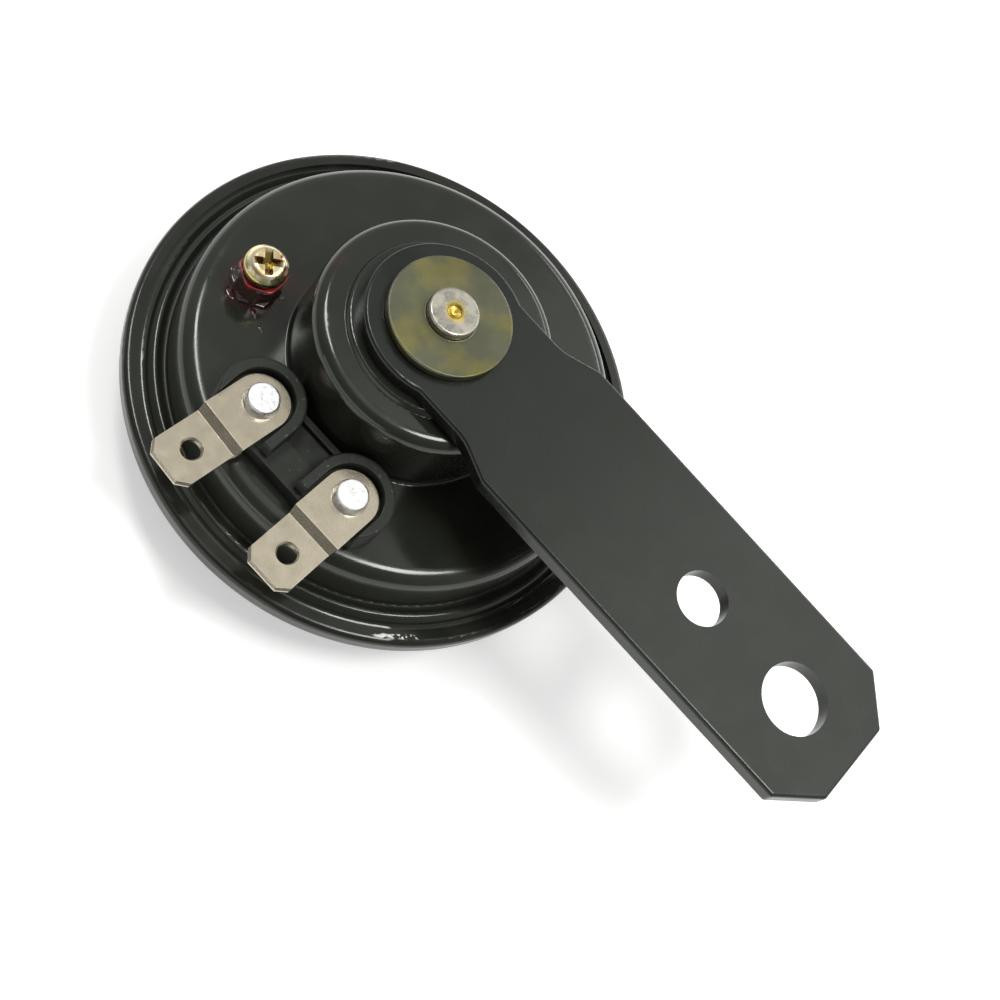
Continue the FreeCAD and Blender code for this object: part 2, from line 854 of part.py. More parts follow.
def striker_stud():
    foot = armature_flange_top + striker_gap
    stud = turned([
        (0, foot, 0),
        (striker_radius, foot, 0),
        (striker_radius, spring_arm_under, 0),
        (striker_neck_radius, spring_arm_under, 0),
        (striker_neck_radius, inner_plate_under, 0),
        (striker_radius, inner_plate_under, 0),
        (striker_radius, inner_plate_under + striker_head_height, 0),
        (0, inner_plate_under + striker_head_height, 0),
    ])
    stud.translate(toward_axis_at(contact_place, striker_orbit))
    return stud


def lead_lug():
    toward_axis = Vector(-right_rivet.x, -right_rivet.y, 0)
    toward_axis.normalize()
    tongue = strip_outline(right_rivet, right_rivet + toward_axis * (lug_tongue - lug_radius / 2), lug_radius, 0)
    lug = plate(tongue, lug_under, inner_plate_under)
    lug = lug.fuse(rod(lug_radius, lug_under, inner_plate_under, right_rivet)).removeSplitter()
    return lug.cut(rod(rivet_radius + rivet_clearance, lug_under, inner_plate_under, right_rivet))


# Adjusting screw

def adjusting_collar():
    collar = hex_prism(collar_across_flats, face_height, collar_top, collar_turn, collar_edge, 0)
    collar = collar.fuse(rod(collar_shank_radius, face_inside, face_height))
    flare = turned([
        (0, face_inside - collar_flare_height, 0),
        (collar_flare_radius, face_inside - collar_flare_height, collar_flare_height / 2),
        (collar_flare_radius, face_inside, 0),
        (0, face_inside, 0),
    ])
    bore = rod(screw_radius + screw_clearance, face_inside - collar_flare_height, collar_top)
    collar = collar.fuse(flare).cut(bore).removeSplitter()
    collar.translate(screw_place)
    return collar


def adjusting_screw():
    head_top = screw_head_under + screw_head_height
    screw = turned([
        (0, fixed_arm_top, 0),
        (screw_radius, fixed_arm_top, 0),
        (screw_radius, screw_head_under, 0),
        (screw_head_radius, screw_head_under, 0),
        (screw_head_radius, screw_head_under + screw_side_height, screw_side_round),
        (screw_head_radius - screw_dome_width, head_top, screw_dome_round),
        (0, head_top, 0),
    ])
    tip = recess_width / 4
    wide = recess_width / 2
    for turn in (0, 90):
        wing = outline([
            (Vector(-recess_reach, 0, head_top), 0),
            (Vector(recess_reach, 0, head_top), 0),
            (Vector(tip, 0, head_top - recess_depth), 0),
            (Vector(-tip, 0, head_top - recess_depth), 0),
        ]).extrude(Vector(0, recess_width, 0))
        wing.translate(Vector(0, -wide, 0))
        wing.rotate(Vector(0, 0, 0), UP, turn + recess_turn)
        screw = screw.cut(wing)
    screw.translate(screw_place)
    return screw


os.makedirs("parts", exist_ok=True)

save(back_cover(), "back_cover")
save(clamp_ring(), "clamp_ring")
save(rim_gasket(), "rim_gasket")
save(diaphragm(), "diaphragm")
save(pole_core(), "pole_core")
save(coil_bobbin(), "coil_bobbin")
save(coil_winding(), "coil_winding")
save(armature(), "armature")
save(mounting_bracket(), "mounting_bracket")
save(core_washer(), "core_washer")
save(tone_spacer(), "tone_spacer")
save(tone_disc(), "tone_disc")
save(spring_washer(), "spring_washer")
save(armature_nut(), "armature_nut")
save(terminal_block(), "terminal_block")
save(inner_plate(), "inner_plate")
for name, rivet, turn, upset_top in (
    ("left", left_rivet, left_blade_turn, fixed_arm_under),
    ("right", right_rivet, right_blade_turn, lug_under),
):
    save(terminal_blade(rivet, turn), "terminal_blade_" + name)
    save(terminal_rivet(rivet, upset_top), "terminal_rivet_" + name)
save(contact_fixed_arm(), "contact_fixed_arm")
save(contact_spring_arm(), "contact_spring_arm")
save(contact_point(fixed_arm_top), "contact_point_fixed")
save(contact_point(fixed_arm_top + contact_thickness), "contact_point_moving")
save(contact_spacer(), "contact_spacer")
save(striker_stud(), "striker_stud")
save(lead_lug(), "lead_lug")
save(adjusting_collar(), "adjusting_collar")
save(adjusting_screw(), "adjusting_screw")
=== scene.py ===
# %% [markdown]
# # The looks of a small electric disc horn
# The horn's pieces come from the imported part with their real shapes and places, in metres. Blender adds
# what steel, paint, plating and lacquer look like, the sealing lacquer as thin pieces of its own, the
# floor, the light and the camera. Nothing of the part is moved or reshaped, so a finish is all that most
# pieces need.

# %% Load the part
import json
import math

import bmesh
import bpy
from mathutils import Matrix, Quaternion, Vector, noise


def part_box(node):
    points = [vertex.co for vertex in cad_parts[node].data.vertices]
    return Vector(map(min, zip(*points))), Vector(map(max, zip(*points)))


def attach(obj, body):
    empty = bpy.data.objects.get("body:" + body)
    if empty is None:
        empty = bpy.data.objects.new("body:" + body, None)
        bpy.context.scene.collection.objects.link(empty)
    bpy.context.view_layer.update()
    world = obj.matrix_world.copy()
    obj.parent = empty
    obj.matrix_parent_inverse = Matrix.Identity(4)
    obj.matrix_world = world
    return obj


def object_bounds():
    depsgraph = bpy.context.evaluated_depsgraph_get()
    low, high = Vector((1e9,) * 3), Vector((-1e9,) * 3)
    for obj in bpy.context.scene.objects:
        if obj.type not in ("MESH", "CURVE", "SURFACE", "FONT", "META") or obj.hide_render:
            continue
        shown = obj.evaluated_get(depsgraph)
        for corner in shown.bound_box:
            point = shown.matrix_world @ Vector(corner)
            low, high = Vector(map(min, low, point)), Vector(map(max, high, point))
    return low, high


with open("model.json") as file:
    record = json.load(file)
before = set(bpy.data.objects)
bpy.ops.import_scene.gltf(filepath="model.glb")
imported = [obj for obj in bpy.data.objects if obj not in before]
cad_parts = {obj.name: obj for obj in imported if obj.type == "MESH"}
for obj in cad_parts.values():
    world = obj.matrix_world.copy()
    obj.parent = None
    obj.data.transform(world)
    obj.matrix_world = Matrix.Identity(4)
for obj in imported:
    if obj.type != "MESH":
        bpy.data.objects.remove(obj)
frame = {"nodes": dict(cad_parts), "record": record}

cad_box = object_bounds()
nodes = frame["nodes"]
mm = 0.001
for plain in list(bpy.data.materials):
    bpy.data.materials.remove(plain)
print("pieces in the part:", len(nodes))

# %% [markdown]
# Every place below is worked out from the part itself, so that it follows when the part is changed. The
# clamp ring is round, so the middle of its box is the horn's axis. The cross-slotted screw and its collar
# stand beside that axis, and the top of the moulded block lies one known step above the cover's face.

# %% Places read from the part
block_above_face = 3.95 * mm


def middle(name):
    low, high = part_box(name)
    return (low + high) / 2


def top_of(name):
    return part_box(name)[1].z


horn_axis = middle("clamp_ring")
collar_axis = middle("adjusting_collar")
rim_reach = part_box("clamp_ring")[1].x - horn_axis.x
core_top = top_of("pole_core")
collar_top = top_of("adjusting_collar")
screw_top = top_of("adjusting_screw")
face_height = top_of("terminal_block") - block_above_face
floor_height = cad_box[0].z
print("axis at", horn_axis.xy, "collar at", collar_axis.xy, "floor at", round(floor_height, 5))

# %% [markdown]
# The camera looks down on the horn's back. It could be placed by hand, but three circles of the real
# horn, the rim, the boss and the washer, fix it well: their ellipses give the height of the view and
# its turn, and the way they grow towards the viewer gives the distance. The camera is also rolled, so
# that the bracket runs to the lower right of the picture.

# %% Camera
target_from_axis = Vector((18.74, 1.53, -20.5)) * mm
view_target = Vector((horn_axis.x, horn_axis.y, 0)) + target_from_axis
view_distance = 208.8 * mm
view_azimuth = math.radians(1.809)
view_elevation = math.radians(59.318)
view_roll = math.radians(48.967)
view_lens = 62.23
nearest_seen = 0.01
farthest_seen = 50


def toward(azimuth, elevation):
    """Unit vector from the object, where azimuth 0 is the side of -Y and 90 the side of +X."""
    flat = math.cos(elevation)
    return Vector((math.sin(azimuth) * flat, -math.cos(azimuth) * flat, math.sin(elevation)))


view_line = toward(-view_azimuth, view_elevation)
camera_data = bpy.data.cameras.new("camera")
camera_data.lens = view_lens
camera_data.clip_start = nearest_seen
camera_data.clip_end = farthest_seen
camera = bpy.data.objects.new("camera", camera_data)
bpy.context.scene.collection.objects.link(camera)
camera.location = view_target + view_line * view_distance
camera.rotation_mode = "QUATERNION"
camera.rotation_quaternion = view_line.to_track_quat("Z", "Y") @ Quaternion((0, 0, 1), view_roll)
bpy.context.scene.camera = camera
print("camera at", camera.location)

# %% [markdown]
# Materials could be joined up by hand in the editor. A few short helpers build them here instead, so
# that each finish reads as a recipe. A socket that is passed as a value makes a link, and anything else
# sets the number or colour on the node.

# %% Helpers for nodes


def put(tree, socket, value):
    """Link a socket to the input, or set the input to a plain value."""
    if isinstance(value, bpy.types.NodeSocket):
        tree.links.new(value, socket)
    else:
        socket.default_value = value


def add(tree, kind, inputs=None, **settings):
    """New node with its settings, and with its inputs by name or number."""
    made = tree.nodes.new(kind)
    for name, value in settings.items():
        setattr(made, name, value)
    for name, value in (inputs or {}).items():
        put(tree, made.inputs[name], value)
    return made


def maths(tree, operation, *values):
    return add(tree, "ShaderNodeMath", dict(enumerate(values)), operation=operation).outputs[0]


def component(tree, vector, axis):
    """The X, Y or Z of a vector."""
    return add(tree, "ShaderNodeSeparateXYZ", {0: vector}).outputs[axis]


def length(tree, vector):
    return add(tree, "ShaderNodeVectorMath", {0: vector}, operation="LENGTH").outputs["Value"]


def spread(tree, value, low, high, to_low=0.0, to_high=1.0):
    """Smooth step: the value between low and high becomes a number from to_low to to_high."""
    inputs = {"Value": value, 1: low, 2: high, 3: to_low, 4: to_high}
    return add(tree, "ShaderNodeMapRange", inputs, interpolation_type="SMOOTHSTEP").outputs[0]


def mixed(tree, factor, first, second):
    """Colour that goes from first to second as the factor goes from 0 to 1."""
    color_sockets = {0: factor, 6: first, 7: second}
    return add(tree, "ShaderNodeMix", color_sockets, data_type="RGBA").outputs[2]


def noise_value(tree, place, per_metre, detail):
    """Soft random number about 0.5, with per_metre waves in a metre."""
    inputs = {"Vector": place, "Scale": per_metre, "Detail": detail}
    return add(tree, "ShaderNodeTexNoise", inputs).outputs[0]


def rgb(red, green, blue):
    return (red, green, blue, 1.0)


print("a colour for the nodes looks like", rgb(0.5, 0.5, 0.5))

# %% [markdown]
# Some effects are shared by many finishes: a waviness, a mottle, wear on edges, grain and dust. Each is
# one node group with named inputs. Copies in every material would drift apart, and a group is changed
# in one place.

# %% Start of a node group
NUMBER = "NodeSocketFloat"
COLOUR = "NodeSocketColor"
VECTOR = "NodeSocketVector"


def new_group(name, inputs, outputs):
    """Node group with inputs (name, socket type, first value) and outputs (name, socket type)."""
    tree = bpy.data.node_groups.new(name, "ShaderNodeTree")
    for label, kind, value in inputs:
        socket = tree.interface.new_socket(name=label, in_out="INPUT", socket_type=kind)
        if value is not None:
            socket.default_value = value
    for label, kind in outputs:
        tree.interface.new_socket(name=label, in_out="OUTPUT", socket_type=kind)
    entry = tree.nodes.new("NodeGroupInput").outputs
    ending = tree.nodes.new("NodeGroupOutput").inputs
    return tree, entry, ending


def sized_noise(tree, entry, size_name, detail):
    """Noise inside a group, whose waves are as long as the named input says."""
    per_metre = maths(tree, "DIVIDE", 1.0, entry[size_name])
    return noise_value(tree, entry["Vector"], per_metre, detail)


print("socket types:", NUMBER, COLOUR, VECTOR)

# %% [markdown]
# Stoved enamel never dries flat. It keeps a slow waviness called orange peel, which shows only where it
# bends a reflection. A bump from two sizes of noise gives that without a single extra face.

# %% Shared effect: orange peel
finer_by = 3.7
orange_peel, entry, ending = new_group(
    "orange_peel",
    [("Vector", VECTOR, None), ("Size", NUMBER, 2 * mm), ("Fine Share", NUMBER, 0.25)],
    [("Height", NUMBER)],
)
per_metre = maths(orange_peel, "DIVIDE", 1.0, entry["Size"])
slow = noise_value(orange_peel, entry["Vector"], per_metre, 1.0)
quick = noise_value(orange_peel, entry["Vector"], maths(orange_peel, "MULTIPLY", per_metre, finer_by), 2.0)
share = maths(orange_peel, "MULTIPLY", quick, entry["Fine Share"])
orange_peel.links.new(maths(orange_peel, "ADD", slow, share), ending["Height"])
print("group", orange_peel.name, "has", len(orange_peel.nodes), "nodes")

# %% [markdown]
# Passivated zinc, tin and old paint are cloudy: one colour drifts into another in soft patches. A
# picture of such clouds would have to be unwrapped onto every piece, while noise in Object coordinates
# fits any shape at once.

# %% Shared effect: mottle
mottle, entry, ending = new_group(
    "mottle",
    [
        ("Vector", VECTOR, None),
        ("First", COLOUR, rgb(0.5, 0.5, 0.5)),
        ("Second", COLOUR, rgb(0.4, 0.4, 0.4)),
        ("Size", NUMBER, 3 * mm),
        ("Softness", NUMBER, 0.2),
        ("Level", NUMBER, 0.5),
    ],
    [("Color", COLOUR)],
)
clouds = sized_noise(mottle, entry, "Size", 4.0)
low_level = maths(mottle, "SUBTRACT", entry["Level"], entry["Softness"])
high_level = maths(mottle, "ADD", entry["Level"], entry["Softness"])
patches = spread(mottle, clouds, low_level, high_level)
mottle.links.new(mixed(mottle, patches, entry["First"], entry["Second"]), ending["Color"])
print("group", mottle.name, "has", len(mottle.nodes), "nodes")

# %% [markdown]
# Plating is rubbed brightest on corners, and mouldings go pale there. The Bevel node looks a little way
# round each point, and where its softened normal differs from the real one there is an edge. A noise
# breaks that line up, because no edge wears evenly.

# %% Shared effect: edge wear
edge_start = 0.03
edge_full = 0.22
unworn_below = 0.3
worn_above = 0.65
edge_wear, entry, ending = new_group(
    "edge_wear",
    [
        ("Vector", VECTOR, None),
        ("Radius", NUMBER, 0.3 * mm),
        ("Patch Size", NUMBER, 2 * mm),
        ("Amount", NUMBER, 0.5),
    ],
    [("Mask", NUMBER)],
)
softened = add(edge_wear, "ShaderNodeBevel", {"Radius": entry["Radius"]}, samples=2).outputs[0]
real = add(edge_wear, "ShaderNodeNewGeometry").outputs["Normal"]
compared = add(edge_wear, "ShaderNodeVectorMath", {0: softened, 1: real}, operation="DOT_PRODUCT")
turned_away = maths(edge_wear, "SUBTRACT", 1.0, compared.outputs["Value"])
edge = spread(edge_wear, turned_away, edge_start, edge_full)
breaks = spread(edge_wear, sized_noise(edge_wear, entry, "Patch Size", 3.0), unworn_below, worn_above)
broken = maths(edge_wear, "MULTIPLY", edge, breaks)
edge_wear.links.new(maths(edge_wear, "MULTIPLY", broken, entry["Amount"]), ending["Mask"])
print("group", edge_wear.name, "has", len(edge_wear.nodes), "nodes")

# %% [markdown]
# Rolled, ground and moulded surfaces share a fine grain. Its height feeds a bump, and a slower smudge
# makes the gloss uneven, which is what tells worked metal from a plastic copy of it.

# %% Shared effect: grain
clean_below = 0.35
smudged_above = 0.65
grain, entry, ending = new_group(
    "grain",
    [("Vector", VECTOR, None), ("Size", NUMBER, 0.2 * mm), ("Smudge Size", NUMBER, 3 * mm)],
    [("Height", NUMBER), ("Smudge", NUMBER)],
)
grain.links.new(sized_noise(grain, entry, "Size", 3.0), ending["Height"])
smudges = sized_noise(grain, entry, "Smudge Size", 4.0)
grain.links.new(spread(grain, smudges, clean_below, smudged_above), ending["Smudge"])
print("group", grain.name, "has", len(grain.nodes), "nodes")

# %% [markdown]
# A few specks of dust settle on what faces up. On the matt mouldings they are pale dots, so they only
# need a mask that lifts the colour a little where the noise peaks.

# %% Shared effect: dust
bare_below = 0.66
dusty_above = 0.74
dust, entry, ending = new_group(
    "dust",
    [("Vector", VECTOR, None), ("Size", NUMBER, 0.6 * mm), ("Amount", NUMBER, 0.3)],
    [("Mask", NUMBER)],
)
specks = spread(dust, sized_noise(dust, entry, "Size", 2.0), bare_below, dusty_above)
normal = add(dust, "ShaderNodeNewGeometry").outputs["Normal"]
upward = maths(dust, "MAXIMUM", component(dust, normal, "Z"), 0.0)
settled = maths(dust, "MULTIPLY", specks, upward)
dust.links.new(maths(dust, "MULTIPLY", settled, entry["Amount"]), ending["Mask"])
print("group", dust.name, "has", len(dust.nodes), "nodes")

# %% [markdown]
# A material starts the same way each time: one Principled shader, and Object coordinates, which are
# metres on the part and stay put when it is seen from elsewhere.

# %% Start of a material


def new_material(name):
    material = bpy.data.materials.new(name)
    material.use_nodes = True
    tree = material.node_tree
    shader = tree.nodes["Principled BSDF"]
    place = add(tree, "ShaderNodeTexCoord").outputs["Object"]
    return material, tree, shader, place


def use_group(tree, group, place, **values):
    """Put a shared effect into a material. Value names use _ where the socket has a space."""
    made = add(tree, "ShaderNodeGroup", node_tree=group)
    tree.links.new(place, made.inputs["Vector"])
    for name, value in values.items():
        put(tree, made.inputs[name.replace("_", " ").title()], value)
    return made.outputs


def set_constants(shader, **values):
    for name, value in values.items():
        shader.inputs[name.replace("_", " ")].default_value = value


def set_varying(tree, shader, color, height, depth, roughness=None):
    """Link what changes over the surface: the colour, a bump of the given depth and the roughness."""
    tree.links.new(color, shader.inputs["Base Color"])
    bump = add(tree, "ShaderNodeBump", {"Height": height, "Distance": depth})
    tree.links.new(bump.outputs[0], shader.inputs["Normal"])
    if roughness is not None:
        tree.links.new(roughness, shader.inputs["Roughness"])


print("shared effects ready:", [group.name for group in bpy.data.node_groups])

# %% [markdown]
# Enamel first, since most of the horn wears it: a black coat that is stoved to a hard gloss. One recipe
# serves the cover, the lumpier coat on the rolled rim, the duller front disc, the collar and, less
# glossy, the bracket. The black is two close colours in a slow mottle, the gloss wanders a little, and
# orange peel is in the bump. Painted sheet shows hardly any wear here, so edge wear is left out.

# %% Enamel recipe
enamel_cloud = 12 * mm
enamel_smudge = 6 * mm
coat_roughness = 0.04


def enamel(name, dark, light, gloss, peel_size, peel_depth, sheen_color, coat=0.0):
    """gloss is (lowest, highest) roughness. Gives the material, its tree, shader, place and colour."""
    material, tree, shader, place = new_material(name)
    color = use_group(tree, mottle, place, first=dark, second=light, size=enamel_cloud)["Color"]
    peel = use_group(tree, orange_peel, place, size=peel_size)["Height"]
    smudge = use_group(tree, grain, place, smudge_size=enamel_smudge)["Smudge"]
    roughness = spread(tree, smudge, 0.0, 1.0, gloss[0], gloss[1])
    set_constants(shader, Coat_Weight=coat, Coat_Roughness=coat_roughness, Specular_Tint=sheen_color)
    set_varying(tree, shader, color, peel, peel_depth, roughness)
    return material, tree, shader, place, color


cover_enamel, tree, shader, place, color = enamel(
    "cover_enamel",
    dark=rgb(0.012, 0.0135, 0.0095),
    light=rgb(0.016, 0.0175, 0.013),
    gloss=(0.13, 0.19),
    peel_size=3.5 * mm,
    peel_depth=0.015 * mm,
    sheen_color=rgb(0.96, 1.0, 0.92),
)
print("first enamel:", cover_enamel.name)

# %% [markdown]
# Many marks on the horn are round patches: a stain, a smear, a row of chips, a golden pool. Painting
# them on an image would tie them to one unwrapping. A distance from an upright line does the same with
# four nodes, can be turned and stretched, and noise makes its rim ragged.

# %% Masks by distance
ripples_per_metre = 550.0
full_within = 0.65
gone_beyond = 1.2


def from_axis(tree, place, axis):
    """Distance from an upright line through a point."""
    inputs = {"Vector": place, "Location": (-axis.x, -axis.y, 0), "Scale": (1, 1, 0)}
    return length(tree, add(tree, "ShaderNodeMapping", inputs).outputs[0])


def stain_mask(tree, place, centre, reach, turn=0.0, stretch=1.0, ragged=0.5):
    """Soft round patch about an upright line, stretched along one direction, with a ragged rim."""
    shifted = add(tree, "ShaderNodeMapping", {"Vector": place, "Location": -centre}).outputs[0]
    turned = add(tree, "ShaderNodeMapping", {"Vector": shifted, "Rotation": (0, 0, -turn)}).outputs[0]
    flat = add(tree, "ShaderNodeMapping", {"Vector": turned, "Scale": (1 / stretch, 1, 0)}).outputs[0]
    ripple = maths(tree, "SUBTRACT", noise_value(tree, place, ripples_per_metre, 3.0), 0.5)
    ripple = maths(tree, "MULTIPLY", ripple, reach * ragged)
    distance = maths(tree, "ADD", length(tree, flat), ripple)
    return spread(tree, distance, reach * full_within, reach * gone_beyond, 1.0, 0.0)


print("a patch fades out between", full_within, "and", gone_beyond, "of its reach")

# %% [markdown]
# On the cover the sealing lacquer has run out round the collar and been smeared towards the boss. It is
# far too thin there to be a shape, so it is a stain in the paint's colour: two masks, one on the collar
# and one stretched towards the boss, tint the black.

# %% Lacquer stain on the cover
halo_reach = 3.7 * mm
halo_strength = 0.6
halo_red = rgb(0.045, 0.010, 0.009)
smear_middle = horn_axis + Vector((-15.6, -4.0, 0)) * mm
smear_reach = 1.6 * mm
smear_turn = math.radians(20)
smear_stretch = 2.2
smear_ragged = 1.4
smear_strength = 0.5
smear_red = rgb(0.036, 0.014, 0.010)
halo = stain_mask(tree, place, collar_axis, halo_reach)
smear = stain_mask(tree, place, smear_middle, smear_reach, smear_turn, smear_stretch, smear_ragged)
color = mixed(tree, maths(tree, "MULTIPLY", halo, halo_strength), color, halo_red)
color = mixed(tree, maths(tree, "MULTIPLY", smear, smear_strength), color, smear_red)
tree.links.new(color, shader.inputs["Base Color"])
print("stain on the cover reaches", halo_reach, "m from the collar's axis")

# %% [markdown]
# Fine dirt gathers in the gully between the cover's outer wall and the ridge of its rim, and dulls the
# gloss there. It has no thickness to model and follows the round gully, so it is a band in the distance
# from the horn's axis that raises the roughness and leaves the colour alone.

# %% Dull gully of the cover
wall_end = rim_reach - 5.3 * mm
gully_start = rim_reach - 5.1 * mm
gully_end = rim_reach - 4.1 * mm
ridge_start = rim_reach - 3.7 * mm
gully_roughness = 0.4
radius_here = from_axis(tree, place, horn_axis)
past_wall = spread(tree, radius_here, wall_end, gully_start)
before_ridge = spread(tree, radius_here, gully_end, ridge_start, gully_roughness, 0.0)
gully_dirt = maths(tree, "MULTIPLY", past_wall, before_ridge)
polish = shader.inputs["Roughness"].links[0].from_socket
tree.links.new(maths(tree, "MAXIMUM", polish, gully_dirt), shader.inputs["Roughness"])
print("gully is dull from", round(gully_start, 5), "to", round(gully_end, 5), "m")

# %% [markdown]
# The clamp ring was rolled over the stack and coated thick, so its enamel is lumpier. Near the bracket's
# lower side a short row of pale flakes is a painted highlight where the rim's lip catches the light,
# drawn like chips that show bare metal. A patch stretched along the rim says where the flakes lie, and
# a fine noise breaks it into flakes.

# %% Ring enamel with its painted highlight flakes
ring_enamel, tree, shader, place, color = enamel(
    "ring_enamel",
    dark=rgb(0.0105, 0.0115, 0.0085),
    light=rgb(0.0145, 0.0155, 0.0115),
    gloss=(0.13, 0.2),
    peel_size=3 * mm,
    peel_depth=0.03 * mm,
    sheen_color=rgb(0.96, 1.0, 0.93),
)
set_constants(shader, Specular_IOR_Level=0.4)
# painted highlight: pale flakes along the ring's lip stand in for a broken highlight there
glint_middle = horn_axis + Vector((22.1, -21.4, 0)) * mm
glint_reach = 0.32 * mm
glint_turn = math.radians(46)
glint_stretch = 9.0
glint_ragged = 1.2
flakes_per_metre = 1500.0
unlit_below = 0.47
glint_above = 0.53
painted_glint_white = rgb(0.74, 0.72, 0.70)
glint_patch = stain_mask(tree, place, glint_middle, glint_reach, glint_turn, glint_stretch, glint_ragged)
flakes = spread(tree, noise_value(tree, place, flakes_per_metre, 3.0), unlit_below, glint_above)
painted_glints = maths(tree, "MULTIPLY", glint_patch, flakes)
tree.links.new(mixed(tree, painted_glints, color, painted_glint_white), shader.inputs["Base Color"])
# the printed length is that of the painted highlight flakes
print("chips run along", round(2 * glint_reach * glint_stretch, 4), "m of the rim")

# %% [markdown]
# The front disc, which is hidden in the main view, has a plainer and duller coat. The collar was dipped
# with the cover, but lacquer has run down it, so its black is warm, drifts to maroon and has a clear
# coat on top.

# %% Enamel of front and collar
front_enamel = enamel(
    "front_enamel",
    dark=rgb(0.014, 0.015, 0.014),
    light=rgb(0.022, 0.023, 0.021),
    gloss=(0.22, 0.34),
    peel_size=3 * mm,
    peel_depth=0.04 * mm,
    sheen_color=rgb(0.95, 1.0, 0.88),
)[0]
collar_enamel = enamel(
    "collar_enamel",
    dark=rgb(0.032, 0.025, 0.021),
    light=rgb(0.062, 0.022, 0.019),
    gloss=(0.10, 0.2),
    peel_size=1.4 * mm,
    peel_depth=0.05 * mm,
    sheen_color=rgb(1.0, 0.95, 0.88),
    coat=0.3,
)[0]
print("enamels:", cover_enamel.name, ring_enamel.name, front_enamel.name, collar_enamel.name)

# %% [markdown]
# The bracket is a stamped strip that is sprayed, not stoved, so it is satin and its bump is finer. It is
# a little greyer towards its far end: a painted sheen that stands in for the brighter reflection there. A
# smooth step along X does that, because the bracket runs along that axis.

# %% Bracket paint
bracket_paint, tree, shader, place, color = enamel(
    "bracket_paint",
    dark=rgb(0.004, 0.0045, 0.004),
    light=rgb(0.006, 0.0065, 0.006),
    gloss=(0.22, 0.3),
    peel_size=0.9 * mm,
    peel_depth=0.01 * mm,
    sheen_color=rgb(0.80, 0.85, 0.75),
)
grey_from = horn_axis.x + 14 * mm
grey_full = horn_axis.x + 46 * mm
# painted sheen: the base colour greys towards the far end in place of a brighter reflection there
painted_sheen_grey = rgb(0.020, 0.0215, 0.0195)
painted_sheen_ramp = spread(tree, component(tree, place, "X"), grey_from, grey_full)
tree.links.new(mixed(tree, painted_sheen_ramp, color, painted_sheen_grey), shader.inputs["Base Color"])
bracket_low, bracket_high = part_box("mounting_bracket")
print("bracket runs from", round(bracket_low.x, 4), "to", round(bracket_high.x, 4))

# %% [markdown]
# Metals share the next recipe. Their colour is the colour of their reflection, so a plated metal is
# mottled in colour, uneven in gloss and brighter on its edges. Metallic is 1 all over, and is therefore
# set on the shader itself. The washer is the first to wear it: yellow passivated zinc, gone olive.

# %% Metal recipe and yellow zinc
worn_radius = 0.22 * mm
worn_patch = 3 * mm
smudge_to_patch = 1.5


def metal(
    name, first, second, patch, gloss, grain_size, grain_depth, edge_color, wear, softness=0.15, level=0.5
):
    """Gives the material, its tree, shader, place and colour, as the enamel recipe does."""
    material, tree, shader, place = new_material(name)
    clouded = use_group(
        tree, mottle, place, first=first, second=second, size=patch, softness=softness, level=level
    )["Color"]
    fine = use_group(tree, grain, place, size=grain_size, smudge_size=patch * smudge_to_patch)
    worn = use_group(tree, edge_wear, place, radius=worn_radius, patch_size=worn_patch, amount=wear)["Mask"]
    color = mixed(tree, worn, clouded, edge_color)
    roughness = spread(tree, fine["Smudge"], 0.0, 1.0, gloss[0], gloss[1])
    set_constants(shader, Metallic=1.0)
    set_varying(tree, shader, color, fine["Height"], grain_depth, roughness)
    return material, tree, shader, place, color


yellow_zinc = metal(
    "yellow_zinc",
    first=rgb(0.105, 0.109, 0.072),
    second=rgb(0.155, 0.146, 0.062),
    patch=4.2 * mm,
    gloss=(0.36, 0.5),
    grain_size=0.35 * mm,
    grain_depth=0.008 * mm,
    edge_color=rgb(0.62, 0.62, 0.52),
    wear=1.0,
    softness=0.12,
    level=0.54,
)[0]
print("first metal:", yellow_zinc.name)

# %% [markdown]
# The blades are brass with a thin coat of tin: warm silver, smooth, and only faintly cloudy. The rivets
# are cold-headed aluminium, whose heads stay pitted and scatter the light, so their bump is deeper and
# their gloss changes more from place to place.

# %% Metals of the terminals
tinned_brass = metal(
    "tinned_brass",
    first=rgb(0.50, 0.450, 0.345),
    second=rgb(0.455, 0.405, 0.305),
    patch=1.2 * mm,
    gloss=(0.23, 0.26),
    grain_size=0.25 * mm,
    grain_depth=0.012 * mm,
    edge_color=rgb(0.82, 0.78, 0.68),
    wear=0.3,
    softness=0.35,
)[0]
rivet_aluminium = metal(
    "rivet_aluminium",
    first=rgb(0.74, 0.74, 0.73),
    second=rgb(0.54, 0.54, 0.53),
    patch=0.8 * mm,
    gloss=(0.35, 0.6),
    grain_size=0.4 * mm,
    grain_depth=0.05 * mm,
    edge_color=rgb(0.92, 0.92, 0.92),
    wear=0.6,
    level=0.6,
)[0]
print("terminal metals:", tinned_brass.name, rivet_aluminium.name)

# %% [markdown]
# Inside and in front there is plain zinc on nut, spacer and contact arm, spring steel in the diaphragm,
# enamelled copper in the coil and ground tungsten on the contacts. They are seen only when the horn is
# turned or opened, so the shared recipe is enough for them.

